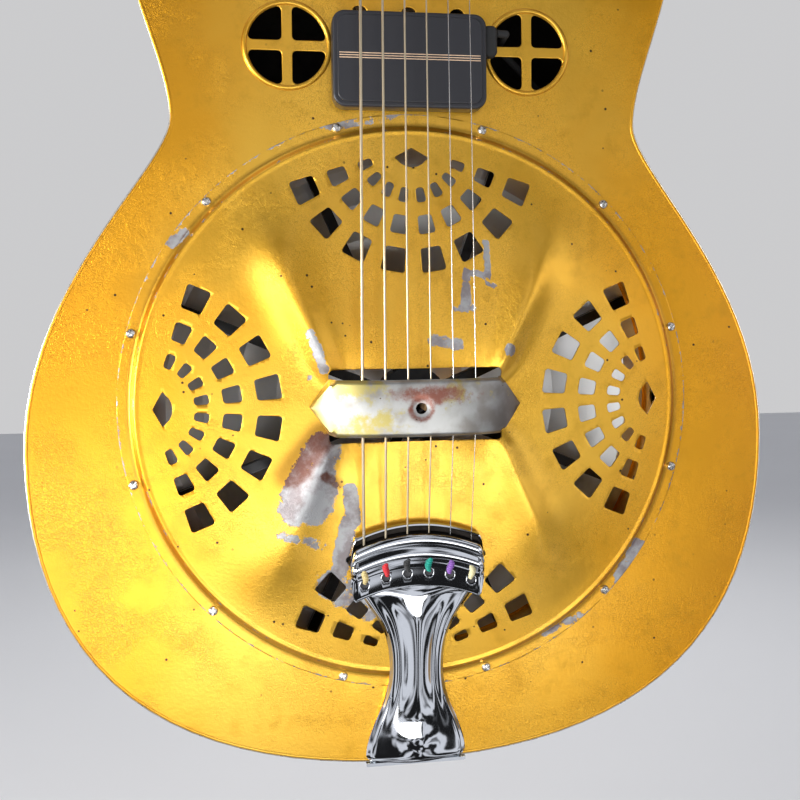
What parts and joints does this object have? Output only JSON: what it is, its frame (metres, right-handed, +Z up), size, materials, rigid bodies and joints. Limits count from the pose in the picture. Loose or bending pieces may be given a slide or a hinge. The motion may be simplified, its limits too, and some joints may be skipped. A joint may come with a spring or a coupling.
{
  "type": "resonator guitar",
  "caption": "Metal-bodied resonator guitar with a pierced coverplate, spun cone and spider, square neck, slotted headstock, geared tuners, trapeze tailpiece and surface pickup.",
  "frame": {"origin": "centre of the end pin on the tail rim's outer line, half way through the body's depth", "axes": "+Z up the neck towards the headstock, -Y out of the playing face, +X towards the treble side"},
  "size_m": [0.365, 0.114, 1.0025],
  "materials": {
    "lacquer": "worn translucent amber lacquer over nickel",
    "chrome": "mirror plate",
    "nickel": "polished nickel",
    "spun_aluminium": "spun",
    "maple": "bare maple",
    "neck_wood": "satin lacquer",
    "ebony": "oiled",
    "black_plastic": "satin",
    "black_rubber": "matt",
    "stripe": "satin",
    "cream": "polished",
    "brass": "satin",
    "wound_wire": "wound bronze"
  },
  "bodies": {
    "guitar": {"top_plate": "lacquer", "back_plate": "lacquer", "rim_band": "lacquer", "sound_well": "lacquer", "tail_block": "maple", "neck_stick": "maple", "end_pin": "black_plastic", "coverplate": "lacquer", "coverplate_screws": "nickel", "resonator_cone": "spun_aluminium", "spider_bridge": "spun_aluminium", "spider_screw": "nickel", "saddle_bass": "maple", "saddle_treble": "maple", "neck": "neck_wood", "fretboard": "ebony", "fret_markers": "cream", "frets": "nickel", "nut": "nickel", "tailpiece": "chrome", "ball_ends": "brass", "string_1": "nickel", "string_2": "nickel", "string_3": "wound_wire", "string_4": "wound_wire", "string_5": "wound_wire", "string_6": "wound_wire", "pickup_case": "black_plastic", "pickup_stripes": "stripe", "pickup_boot": "black_plastic", "pickup_lead": "black_rubber", "output_jack": "nickel", "jack_nut": "nickel", "tuner_plate_bass": "nickel", "tuner_plate_treble": "nickel", "tuner_plate_screws": "nickel"},
    "post_1": {"roller_1": "cream", "gear_1": "brass"},
    "key_1": {"worm_1": "nickel", "button_1": "cream"},
    "post_2": {"roller_2": "cream", "gear_2": "brass"},
    "key_2": {"worm_2": "nickel", "button_2": "cream"},
    "post_3": {"roller_3": "cream", "gear_3": "brass"},
    "key_3": {"worm_3": "nickel", "button_3": "cream"},
    "post_4": {"roller_4": "cream", "gear_4": "brass"},
    "key_4": {"worm_4": "nickel", "button_4": "cream"},
    "post_5": {"roller_5": "cream", "gear_5": "brass"},
    "key_5": {"worm_5": "nickel", "button_5": "cream"},
    "post_6": {"roller_6": "cream", "gear_6": "brass"},
    "key_6": {"worm_6": "nickel", "button_6": "cream"}
  },
  "joints": [
    {"name": "key_1_turn", "type": "hinge", "parent": "guitar", "child": "key_1", "pos_m": [0.0411, -0.0202, 0.87244], "axis": [0, -0.9744, 0.225], "continuous": true},
    {"name": "post_1_turn", "type": "hinge", "parent": "guitar", "child": "post_1", "pos_m": [0.0411, -0.02198, 0.86469], "axis": [1, 0, 0], "continuous": true},
    {"name": "key_2_turn", "type": "hinge", "parent": "guitar", "child": "key_2", "pos_m": [0.0411, -0.0121, 0.90751], "axis": [0, -0.9744, 0.225], "continuous": true},
    {"name": "post_2_turn", "type": "hinge", "parent": "guitar", "child": "post_2", "pos_m": [0.0411, -0.01388, 0.89977], "axis": [1, 0, 0], "continuous": true},
    {"name": "key_3_turn", "type": "hinge", "parent": "guitar", "child": "key_3", "pos_m": [0.0411, -0.004, 0.94259], "axis": [0, -0.9744, 0.225], "continuous": true},
    {"name": "post_3_turn", "type": "hinge", "parent": "guitar", "child": "post_3", "pos_m": [0.0411, -0.00579, 0.93485], "axis": [1, 0, 0], "continuous": true},
    {"name": "key_4_turn", "type": "hinge", "parent": "guitar", "child": "key_4", "pos_m": [-0.0411, -0.004, 0.94259], "axis": [0, -0.9744, 0.225], "continuous": true},
    {"name": "post_4_turn", "type": "hinge", "parent": "guitar", "child": "post_4", "pos_m": [-0.0411, -0.00579, 0.93485], "axis": [1, 0, 0], "continuous": true},
    {"name": "key_5_turn", "type": "hinge", "parent": "guitar", "child": "key_5", "pos_m": [-0.0411, -0.0121, 0.90751], "axis": [0, -0.9744, 0.225], "continuous": true},
    {"name": "post_5_turn", "type": "hinge", "parent": "guitar", "child": "post_5", "pos_m": [-0.0411, -0.01388, 0.89977], "axis": [1, 0, 0], "continuous": true},
    {"name": "key_6_turn", "type": "hinge", "parent": "guitar", "child": "key_6", "pos_m": [-0.0411, -0.0202, 0.87244], "axis": [0, -0.9744, 0.225], "continuous": true},
    {"name": "post_6_turn", "type": "hinge", "parent": "guitar", "child": "post_6", "pos_m": [-0.0411, -0.02198, 0.86469], "axis": [1, 0, 0], "continuous": true}
  ],
  "couplings": [
    {"joint": "post_1_turn", "follows": "key_1_turn", "ratio": -0.071429},
    {"joint": "post_2_turn", "follows": "key_2_turn", "ratio": -0.071429},
    {"joint": "post_3_turn", "follows": "key_3_turn", "ratio": -0.071429},
    {"joint": "post_4_turn", "follows": "key_4_turn", "ratio": -0.071429},
    {"joint": "post_5_turn", "follows": "key_5_turn", "ratio": -0.071429},
    {"joint": "post_6_turn", "follows": "key_6_turn", "ratio": -0.071429}
  ]
}
